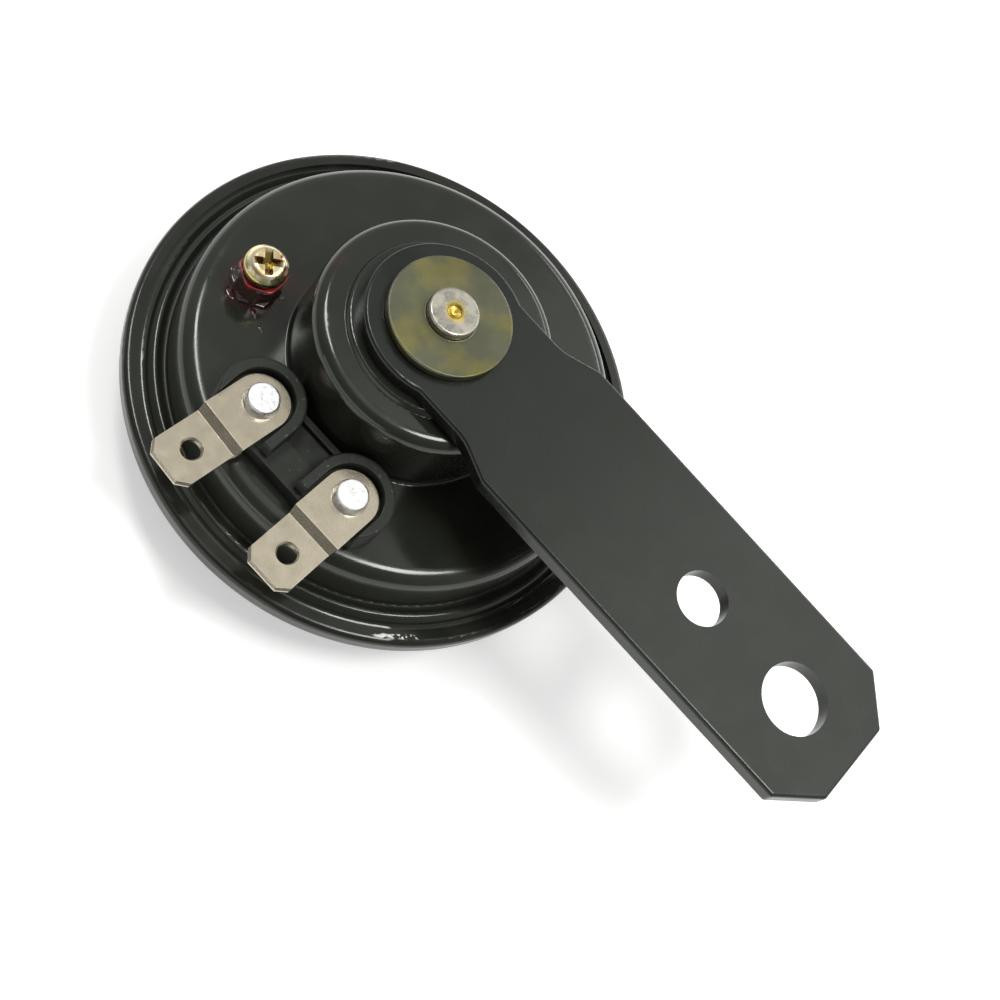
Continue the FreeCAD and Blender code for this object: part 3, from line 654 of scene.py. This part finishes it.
# %% Metals of the front and the inside
clear_zinc = metal(
    "clear_zinc",
    first=rgb(0.52, 0.53, 0.54),
    second=rgb(0.40, 0.41, 0.43),
    patch=3 * mm,
    gloss=(0.28, 0.42),
    grain_size=0.3 * mm,
    grain_depth=0.01 * mm,
    edge_color=rgb(0.7, 0.7, 0.7),
    wear=0.7,
)[0]
spring_steel = metal(
    "spring_steel",
    first=rgb(0.48, 0.48, 0.48),
    second=rgb(0.38, 0.38, 0.39),
    patch=5 * mm,
    gloss=(0.2, 0.34),
    grain_size=0.4 * mm,
    grain_depth=0.006 * mm,
    edge_color=rgb(0.62, 0.62, 0.62),
    wear=0.4,
)[0]
copper_wire = metal(
    "copper_wire",
    first=rgb(0.56, 0.22, 0.09),
    second=rgb(0.42, 0.15, 0.06),
    patch=2 * mm,
    gloss=(0.2, 0.3),
    grain_size=0.3 * mm,
    grain_depth=0.01 * mm,
    edge_color=rgb(0.7, 0.32, 0.15),
    wear=0.4,
)[0]
contact_tungsten = metal(
    "contact_tungsten",
    first=rgb(0.42, 0.42, 0.44),
    second=rgb(0.3, 0.3, 0.32),
    patch=1 * mm,
    gloss=(0.25, 0.4),
    grain_size=0.1 * mm,
    grain_depth=0.01 * mm,
    edge_color=rgb(0.55, 0.55, 0.57),
    wear=0.5,
)[0]
print("hidden metals:", clear_zinc.name, spring_steel.name, copper_wire.name, contact_tungsten.name)

# %% [markdown]
# The core's end was turned, then riveted over, so it is steel with a dull mottle. In its middle is a
# small centre mark, where yellow passivation has pooled and stained a ring about it. The stain is a
# patch about the horn's axis that stops below the riveted end.

# %% Turned steel with its golden centre
turned_steel, tree, shader, place, color = metal(
    "turned_steel",
    first=rgb(0.40, 0.38, 0.32),
    second=rgb(0.27, 0.26, 0.225),
    patch=0.9 * mm,
    gloss=(0.26, 0.42),
    grain_size=0.3 * mm,
    grain_depth=0.02 * mm,
    edge_color=rgb(0.88, 0.88, 0.86),
    wear=0.7,
    level=0.6,
)
pool_reach = 1.35 * mm
pool_ragged = 0.9
pool_gold = rgb(0.58, 0.43, 0.09)
pool_bottom = core_top - 2 * mm
pool = stain_mask(tree, place, horn_axis, pool_reach, ragged=pool_ragged)
near_end = maths(tree, "GREATER_THAN", component(tree, place, "Z"), pool_bottom)
pool = maths(tree, "MULTIPLY", pool, near_end)
tree.links.new(mixed(tree, pool, color, pool_gold), shader.inputs["Base Color"])
print("golden pool reaches", pool_reach, "m")

# %% [markdown]
# The screw is bright yellow zinc. Its cross recess is painted darker and more golden as shade, and its
# rim is painted olive as shade where the head falls away from the light. Dabs of red lacquer cling to
# the head. Recess and rim are masks by height and by distance from the screw's axis. The dabs are a
# noise cut off high up, which leaves a few small islands that take the lacquer's colour and lose their
# metal.

# %% Screw zinc with lacquer dabs
screw_zinc, tree, shader, place, color = metal(
    "screw_zinc",
    first=rgb(0.92, 0.82, 0.57),
    second=rgb(0.76, 0.61, 0.33),
    patch=1.2 * mm,
    gloss=(0.16, 0.28),
    grain_size=0.3 * mm,
    grain_depth=0.012 * mm,
    edge_color=rgb(0.88, 0.80, 0.52),
    wear=0.8,
)
sunk_full = screw_top - 0.4 * mm
sunk_from = screw_top - 0.08 * mm
recess_full = 1.8 * mm
recess_end = 1.95 * mm
# painted shade: darker gold in the cross recess and olive on the rim of the head
painted_recess_shade = rgb(0.27, 0.19, 0.05)
rim_from = 2.2 * mm
rim_full = 2.6 * mm
rim_strength = 0.9
painted_rim_shade = rgb(0.40, 0.38, 0.13)
dabs_per_metre = 520.0
dab_from = 0.62
dab_full = 0.68
lacquer_red = rgb(0.30, 0.026, 0.024)
out_from_axis = from_axis(tree, place, collar_axis)
sunk = spread(tree, component(tree, place, "Z"), sunk_full, sunk_from, 1.0, 0.0)
inside = spread(tree, out_from_axis, recess_full, recess_end, 1.0, 0.0)
rim = spread(tree, out_from_axis, rim_from, rim_full, 0.0, rim_strength)
dabs = spread(tree, noise_value(tree, place, dabs_per_metre, 2.0), dab_from, dab_full)
# painted shade in the cross recess and on the head's rim
color = mixed(tree, maths(tree, "MULTIPLY", sunk, inside), color, painted_recess_shade)
color = mixed(tree, rim, color, painted_rim_shade)
tree.links.new(mixed(tree, dabs, color, lacquer_red), shader.inputs["Base Color"])
tree.links.new(maths(tree, "SUBTRACT", 1.0, dabs), shader.inputs["Metallic"])
print("screw's top at", round(screw_top, 5), "m, recess darkened out to", recess_end, "m")

# %% [markdown]
# Moulded and punched insulators are matt. The block is a dark phenolic moulding with a fine, slightly
# chalky skin. The recipe is the one of the metals without the metal: cloudy colour, grain, pale edges,
# and dust on what faces up.

# %% Moulding recipe and terminal block
moulding_cloud = 4 * mm
moulding_smudge = 4 * mm
moulding_edge = 0.25 * mm
dust_amount = 0.25
dust_color = rgb(0.3, 0.29, 0.27)
moulding_sheen = rgb(0.95, 1.0, 0.86)
moulding_gloss_level = 0.32


def moulding(name, first, second, gloss, grain_size, grain_depth, edge_color, wear):
    material, tree, shader, place = new_material(name)
    clouded = use_group(tree, mottle, place, first=first, second=second, size=moulding_cloud)["Color"]
    fine = use_group(tree, grain, place, size=grain_size, smudge_size=moulding_smudge)
    worn = use_group(tree, edge_wear, place, radius=moulding_edge, amount=wear)["Mask"]
    settled = use_group(tree, dust, place, amount=dust_amount)["Mask"]
    color = mixed(tree, worn, clouded, edge_color)
    color = mixed(tree, settled, color, dust_color)
    roughness = spread(tree, fine["Smudge"], 0.0, 1.0, gloss[0], gloss[1])
    set_constants(shader, Specular_IOR_Level=moulding_gloss_level, Specular_Tint=moulding_sheen)
    set_varying(tree, shader, color, fine["Height"], grain_depth, roughness)
    return material


block_plastic = moulding(
    "block_plastic",
    first=rgb(0.007, 0.0075, 0.007),
    second=rgb(0.013, 0.014, 0.013),
    gloss=(0.4, 0.52),
    grain_size=0.22 * mm,
    grain_depth=0.02 * mm,
    edge_color=rgb(0.035, 0.036, 0.035),
    wear=0.5,
)
print("first moulding:", block_plastic.name)

# %% [markdown]
# The other insulators lie inside: a bobbin of pale nylon, plates of brown fibre board and a gasket of
# soft sheet. They differ in colour and gloss, so each is one call of the same recipe.

# %% Insulators inside the horn
bobbin_plastic = moulding(
    "bobbin_plastic",
    first=rgb(0.5, 0.48, 0.42),
    second=rgb(0.44, 0.42, 0.36),
    gloss=(0.35, 0.5),
    grain_size=0.3 * mm,
    grain_depth=0.01 * mm,
    edge_color=rgb(0.55, 0.53, 0.47),
    wear=0.4,
)
fibre_board = moulding(
    "fibre_board",
    first=rgb(0.28, 0.13, 0.07),
    second=rgb(0.2, 0.09, 0.05),
    gloss=(0.6, 0.8),
    grain_size=0.4 * mm,
    grain_depth=0.03 * mm,
    edge_color=rgb(0.34, 0.19, 0.12),
    wear=0.6,
)
gasket_sheet = moulding(
    "gasket_sheet",
    first=rgb(0.12, 0.1, 0.08),
    second=rgb(0.09, 0.075, 0.06),
    gloss=(0.7, 0.85),
    grain_size=0.4 * mm,
    grain_depth=0.03 * mm,
    edge_color=rgb(0.16, 0.14, 0.12),
    wear=0.4,
)
print("insulators inside:", bobbin_plastic.name, fibre_board.name, gasket_sheet.name)

# %% [markdown]
# The part's record names a finish slot for every node. Each piece could be dressed by hand, but a loop
# over the record hands every node its material and forgets none.

# %% Dress the nodes
finishes = {
    material.name: material
    for material in (
        cover_enamel, ring_enamel, front_enamel, collar_enamel, bracket_paint, yellow_zinc,
        screw_zinc, clear_zinc, turned_steel, spring_steel, tinned_brass, rivet_aluminium,
        block_plastic, bobbin_plastic, fibre_board, copper_wire, contact_tungsten, gasket_sheet,
    )
}
for row in frame["record"]["subparts"]:
    piece = nodes[row["node"]]
    piece.data.materials.clear()
    piece.data.materials.append(finishes[row["material_slot"]])

# %% [markdown]
# Sealing lacquer is thick, red and glossy where it is fresh and deep, and nearly black where it has run
# thin over the enamel. Both are a mottle of two reds with a wavy bump under a clear coat, and they differ
# only in numbers.

# %% Lacquer


def lacquer(name, first, second, cloud, level, wave, wave_depth, roughness, coat):
    material, tree, shader, place = new_material(name)
    color = use_group(tree, mottle, place, first=first, second=second, size=cloud, level=level)["Color"]
    height = use_group(tree, orange_peel, place, size=wave)["Height"]
    set_constants(shader, Roughness=roughness, Coat_Weight=coat, Coat_Roughness=0.05)
    set_varying(tree, shader, color, height, wave_depth)
    return material


sealing_lacquer = lacquer(
    "sealing_lacquer",
    first=lacquer_red,
    second=rgb(0.16, 0.010, 0.012),
    cloud=1.3 * mm,
    level=0.52,
    wave=0.7 * mm,
    wave_depth=0.04 * mm,
    roughness=0.16,
    coat=0.6,
)
dark_lacquer = lacquer(
    "dark_lacquer",
    first=rgb(0.045, 0.008, 0.008),
    second=rgb(0.015, 0.010, 0.009),
    cloud=1.5 * mm,
    level=0.5,
    wave=0.8 * mm,
    wave_depth=0.03 * mm,
    roughness=0.14,
    coat=0.4,
)
print("lacquers:", sealing_lacquer.name, dark_lacquer.name)

# %% [markdown]
# The lacquer is dripped over the screw once the horn is tuned. It dries as a film over the collar's top,
# with a fat rim that hangs over the edge. A plain coloured disc would look stuck on. The film starts
# instead as a six-sided prism a little larger than the collar, has its corners bevelled round, and is
# then cut finer and pushed about with noise.

# %% Six-sided prism and the end of a piece
collar_across_flats = 5.0 * mm
collar_turn = Quaternion((0, 0, 1), math.radians(4.0)).to_matrix()


def hex_prism(extra, depth):
    """Upright six-sided prism about the origin that reaches extra beyond the collar's corners."""
    prism = bmesh.new()
    reach = collar_across_flats / math.sqrt(3) + extra
    bmesh.ops.create_cone(prism, cap_ends=True, segments=6, radius1=reach, radius2=reach, depth=depth)
    return prism


def finish_piece(bm, name, material):
    """Write a bmesh to a smooth-shaded object that rides on the horn's one body."""
    bmesh.ops.recalc_face_normals(bm, faces=bm.faces)
    mesh = bpy.data.meshes.new(name)
    bm.to_mesh(mesh)
    bm.free()
    mesh.materials.append(material)
    mesh.shade_smooth()
    piece = bpy.data.objects.new(name, mesh)
    bpy.context.scene.collection.objects.link(piece)
    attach(piece, "root")
    print(name, "faces:", len(mesh.polygons))


print("collar is", collar_across_flats, "m across its flats")

# %% Lacquer film over the collar
film_thickness = 0.11 * mm
film_above = 0.14 * mm
film_hang = 0.32 * mm
film_round = 0.5 * mm
film_inset = 0.5 * mm
film_wander = 0.16 * mm
film_lump_size = 0.9 * mm
film_lump_rise = 0.8 * film_thickness
film = hex_prism(film_thickness, film_above + film_hang)
upright = [edge for edge in film.edges if abs(edge.verts[0].co.z - edge.verts[1].co.z) > film_hang / 2]
bmesh.ops.bevel(
    film,
    geom=upright,
    offset=film_round,
    offset_type="OFFSET",
    affect="EDGES",
    segments=3,
    profile=0.5,
    material=-1,
)
caps = [face for face in film.faces if len(face.verts) > 4]
bmesh.ops.inset_region(film, faces=caps, thickness=film_inset)
bmesh.ops.subdivide_edges(film, edges=film.edges, cuts=3, use_grid_fill=True)
bmesh.ops.rotate(film, verts=film.verts, cent=(0, 0, 0), matrix=collar_turn)
film_middle = collar_top + (film_above - film_hang) / 2
bmesh.ops.translate(film, verts=film.verts, vec=(collar_axis.x, collar_axis.y, film_middle))
for vert in film.verts:
    lump = noise.noise(vert.co / film_lump_size)
    outward = (vert.co - collar_axis).xy.normalized()
    vert.co.x += outward.x * lump * film_lump_rise
    vert.co.y += outward.y * lump * film_lump_rise
    if vert.co.z < collar_top:
        vert.co.z += lump * film_wander
bmesh.ops.smooth_vert(
    film, verts=film.verts, factor=0.5, use_axis_x=True, use_axis_y=True, use_axis_z=True
)
finish_piece(film, "lacquer_film", sealing_lacquer)

# %% [markdown]
# Where the collar stands on the face, lacquer has gathered in a low bead that follows its six sides. It
# starts as a low prism round the collar, and the edges of its top are bevelled to a round shoulder.

# %% Lacquer bead at the collar's foot
bead_width = 0.34 * mm
bead_height = 0.42 * mm
bead_bend = 0.3 * mm
bead_unevenness = 0.06
bead_lump_size = 1.1 * mm
seat_depth = 0.02 * mm
bead = hex_prism(bead_width, bead_height)
upper = [edge for edge in bead.edges if max(vert.co.z for vert in edge.verts) > 0]
bmesh.ops.bevel(bead, geom=upper, offset=bead_bend, affect="EDGES", segments=4, profile=0.5, material=-1)
bmesh.ops.rotate(bead, verts=bead.verts, cent=(0, 0, 0), matrix=collar_turn)
bead_place = Vector((collar_axis.x, collar_axis.y, face_height + bead_height / 2 - seat_depth))
bmesh.ops.translate(bead, verts=bead.verts, vec=bead_place)
for vert in bead.verts:
    vert.co += (vert.co - bead_place) * bead_unevenness * noise.noise(vert.co / bead_lump_size)
finish_piece(bead, "lacquer_bead", dark_lacquer)

# %% [markdown]
# Below the collar a few drops of lacquer have run onto the face and dried there. A drop is a ball
# flattened and stretched, then cut off level with the face, so that it sits on it and doesn't float.
# Each row below is a drop: its place from the horn's axis and its radius in millimetres, how much
# longer than wide it is, and its turn in degrees.

# %% Lacquer drops on the face
drop_rows = (
    (-19.2, -10.7, 0.5, 1.5, 0),
    (-16.0, -10.2, 0.38, 2.0, -25),
    (-13.9, -11.0, 0.28, 1.8, -20),
    (-21.3, -8.2, 0.4, 1.4, 100),
    (-15.4, -6.2, 0.3, 1.6, 10),
)
drop_rise = 0.30
drop_unevenness = 0.25
drop_lump_size = 0.5 * mm
drops = bmesh.new()
for x, y, radius, stretch, turn in drop_rows:
    ball = bmesh.ops.create_uvsphere(drops, u_segments=20, v_segments=12, radius=radius * mm)["verts"]
    bmesh.ops.scale(drops, verts=ball, vec=(stretch, 1, drop_rise))
    drop_turn = Quaternion((0, 0, 1), math.radians(turn)).to_matrix()
    bmesh.ops.rotate(drops, verts=ball, cent=(0, 0, 0), matrix=drop_turn)
    for vert in ball:
        vert.co *= 1 + drop_unevenness * noise.noise(vert.co / drop_lump_size + Vector((x, y, 0)))
    bmesh.ops.translate(drops, verts=ball, vec=(horn_axis.x + x * mm, horn_axis.y + y * mm, face_height))
everything = list(drops.verts) + list(drops.edges) + list(drops.faces)
level = Vector((0, 0, face_height - seat_depth))
bmesh.ops.bisect_plane(drops, geom=everything, plane_co=level, plane_no=(0, 0, 1), clear_inner=True)
cut_edges = [edge for edge in drops.edges if edge.is_boundary]
bmesh.ops.holes_fill(drops, edges=cut_edges, sides=0)
finish_piece(drops, "lacquer_drops", dark_lacquer)

# %% [markdown]
# The floor is plain and pale. Light on the object has to stay at a plain level, so the floor isn't
# brought to white by more lamps. Rays that come from the camera, or from a glossy reflection, see it
# with a little light of its own, and the soft shadow under the horn is still there. From below the floor
# is clear, so that the horn's front can be looked at too.

# %% Floor
floor_half = 4.0
floor_color = rgb(0.80, 0.80, 0.79)
floor_lift = 0.42
ground = bmesh.new()
bmesh.ops.create_grid(ground, x_segments=1, y_segments=1, size=floor_half)
bmesh.ops.translate(ground, verts=ground.verts, vec=(horn_axis.x, 0, floor_height))
floor_mesh = bpy.data.meshes.new("floor")
ground.to_mesh(floor_mesh)
ground.free()
floor = bpy.data.objects.new("floor", floor_mesh)
bpy.context.scene.collection.objects.link(floor)
floor_paint = bpy.data.materials.new("floor_paint")
floor_paint.use_nodes = True
tree = floor_paint.node_tree
tree.nodes.clear()
rays = add(tree, "ShaderNodeLightPath").outputs
mirrored = maths(tree, "MAXIMUM", rays["Is Glossy Ray"], rays["Is Transmission Ray"])
seen = maths(tree, "MAXIMUM", rays["Is Camera Ray"], mirrored)
matt = add(tree, "ShaderNodeBsdfDiffuse", {"Color": floor_color}).outputs[0]
glow = add(tree, "ShaderNodeEmission", {"Strength": maths(tree, "MULTIPLY", seen, floor_lift)}).outputs[0]
both = add(tree, "ShaderNodeAddShader", {0: matt, 1: glow}).outputs[0]
see_through = add(tree, "ShaderNodeBsdfTransparent").outputs[0]
underneath = add(tree, "ShaderNodeNewGeometry").outputs["Backfacing"]
sided = add(tree, "ShaderNodeMixShader", {0: underneath, 1: both, 2: see_through}).outputs[0]
add(tree, "ShaderNodeOutputMaterial", {"Surface": sided})
floor_mesh.materials.append(floor_paint)
print("floor at", round(floor_height, 5), "m")

# %% [markdown]
# Gloss black is seen by what it mirrors, so the lamps are placed where the bends look. A long low box on
# the near side draws thin lines along the lower bends. Two small bright boxes high on the right and the
# left light up the metal and draw the bold lines on boss and shoulder. A low box far behind lines the
# upper edges, and a wide dim panel behind turns the flat tops a soft grey. One strong lamp would give
# hard glints and leave the rest black.

# %% Lamps
watts_per_radiance = 4.0


def softbox(name, azimuth, elevation, distance, width, height, radiance):
    """Rectangular lamp that faces the horn's axis, hidden from the camera."""
    direction = toward(math.radians(azimuth), math.radians(elevation))
    light = bpy.data.lights.new(name, "AREA")
    light.shape = "RECTANGLE"
    light.size = width
    light.size_y = height
    light.energy = radiance * width * height * watts_per_radiance
    lamp = bpy.data.objects.new(name, light)
    bpy.context.scene.collection.objects.link(lamp)
    lamp.location = Vector((horn_axis.x, 0, 0)) + direction * distance
    lamp.rotation_mode = "QUATERNION"
    lamp.rotation_quaternion = direction.to_track_quat("Z", "Y")
    lamp.visible_camera = False
    print(name, "gives", round(light.energy, 2), "W")


softbox("low_box", azimuth=-10, elevation=11, distance=0.7, width=0.9, height=0.2, radiance=1.1)
softbox("right_box", azimuth=104, elevation=70, distance=0.8, width=0.25, height=0.22, radiance=13.5)
softbox("left_box", azimuth=-108, elevation=62, distance=0.8, width=0.14, height=0.26, radiance=13.5)
softbox("far_box", azimuth=165, elevation=24, distance=1.0, width=0.6, height=0.12, radiance=5.0)
softbox("back_panel", azimuth=150, elevation=50, distance=1.2, width=0.9, height=0.7, radiance=0.6)

# %% [markdown]
# The room is what the enamel mirrors between the lamps. An even grey would make the horn look flat. It
# is therefore dim on the near side, pale on the far side, and brighter in a small patch right overhead,
# all as smooth steps along the direction of view.

# %% Room
near_side = -0.8
far_side = 0.3
near_shade = 0.2
far_shade = 0.62
overhead_from = 0.92
overhead_full = 0.99
overhead_extra = 0.6
room = bpy.data.worlds.new("room")
bpy.context.scene.world = room
room.use_nodes = True
tree = room.node_tree
tree.nodes.clear()
direction = add(tree, "ShaderNodeTexCoord").outputs["Generated"]
sides = spread(tree, component(tree, direction, "Y"), near_side, far_side, near_shade, far_shade)
above = spread(tree, component(tree, direction, "Z"), overhead_from, overhead_full, 0.0, overhead_extra)
shade = maths(tree, "ADD", sides, above)
grey = add(tree, "ShaderNodeCombineColor", {0: shade, 1: shade, 2: shade}).outputs[0]
background = add(tree, "ShaderNodeBackground", {"Color": grey, "Strength": 1.0}).outputs[0]
add(tree, "ShaderNodeOutputWorld", {"Surface": background})
bpy.context.scene.view_settings.view_transform = "Standard"
print("room goes from", near_shade, "to", far_shade, "and to", far_shade + overhead_extra, "overhead")
